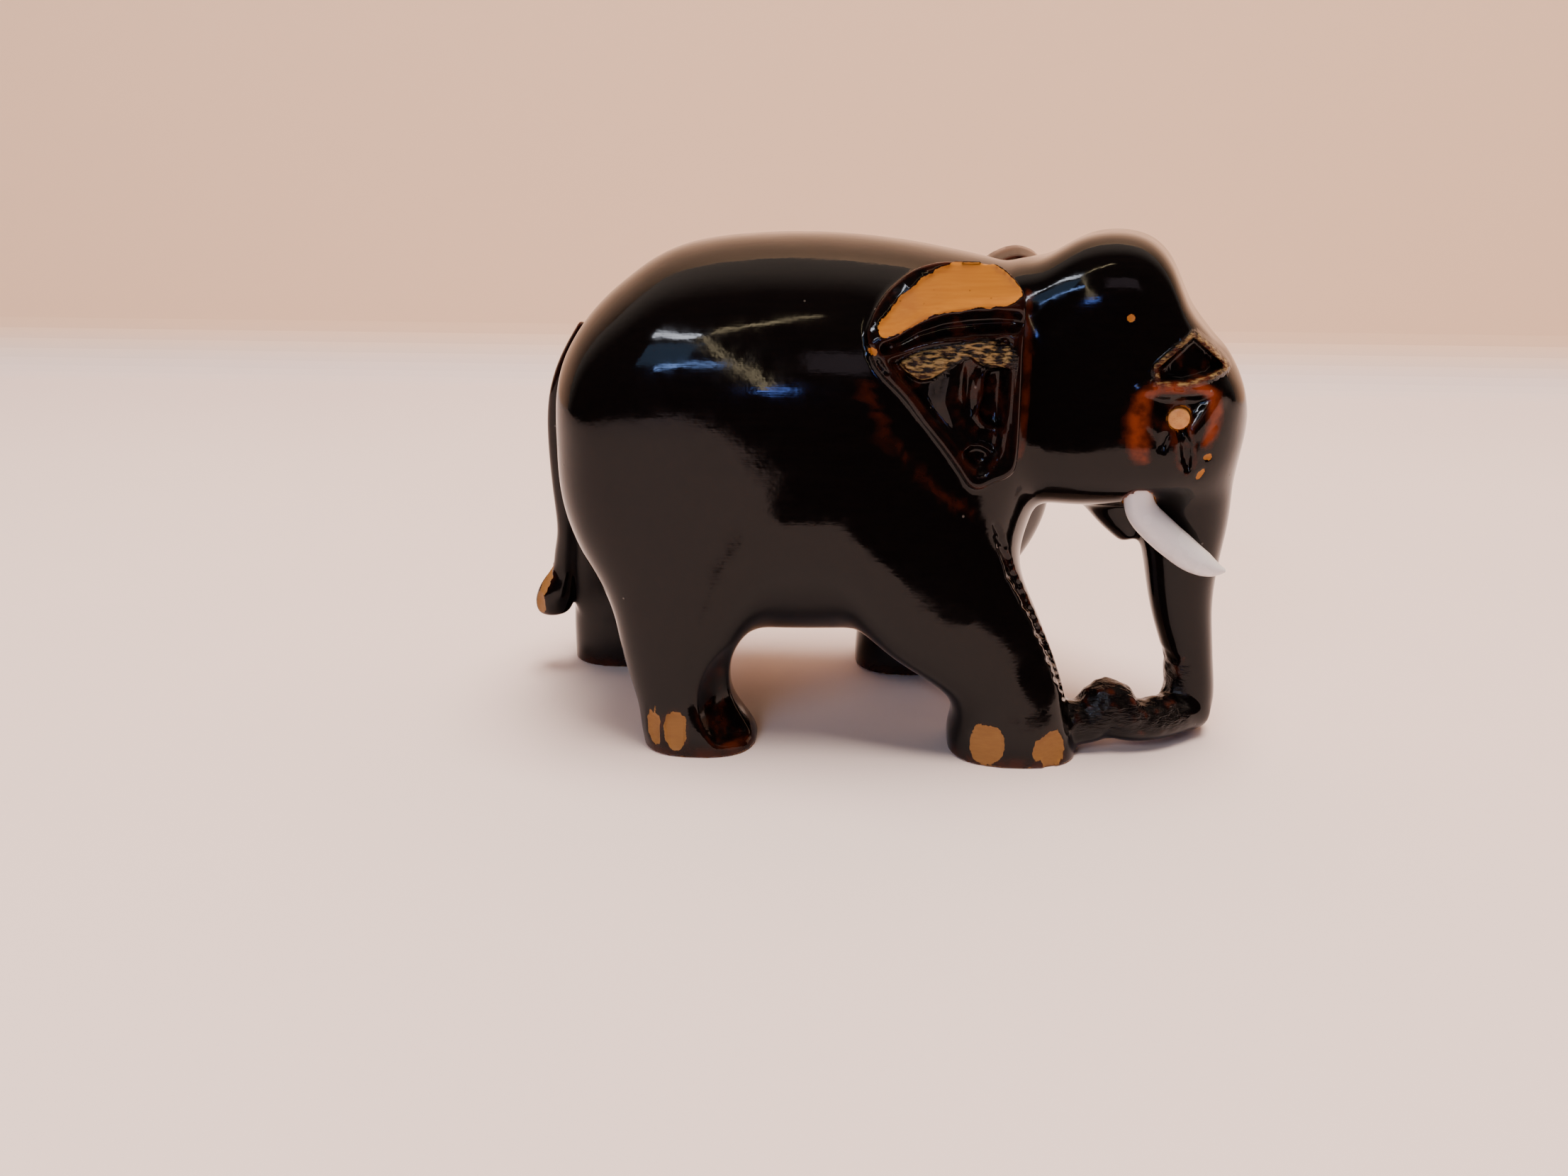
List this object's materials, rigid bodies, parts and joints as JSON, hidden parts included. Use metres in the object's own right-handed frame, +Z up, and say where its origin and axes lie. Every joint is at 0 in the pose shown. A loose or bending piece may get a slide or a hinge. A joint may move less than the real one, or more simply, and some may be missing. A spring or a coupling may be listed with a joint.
{
  "type": "carved wooden elephant",
  "caption": "Small lacquered wooden elephant, carved from one block in a walking pose with its head turned, with set-in white tusks and wooden eye pegs.",
  "frame": {"origin": "centre of the bounding box at the level of the soles", "axes": "+X towards the head, +Y to the elephant's left, +Z up from the soles"},
  "size_m": [0.0983, 0.043, 0.0666],
  "materials": {
    "lacquered_wood": "dark stained wood under glossy black-brown lacquer, cut back to bare wood at the toenails and ear rims",
    "white_plastic": "polished white plastic",
    "pale_wood": "bare light wood, lightly varnished"
  },
  "bodies": {
    "root": {"carved_body": "lacquered_wood", "tusk_right": "white_plastic", "tusk_left": "white_plastic", "eye_right": "pale_wood", "eye_left": "pale_wood"}
  },
  "joints": []
}
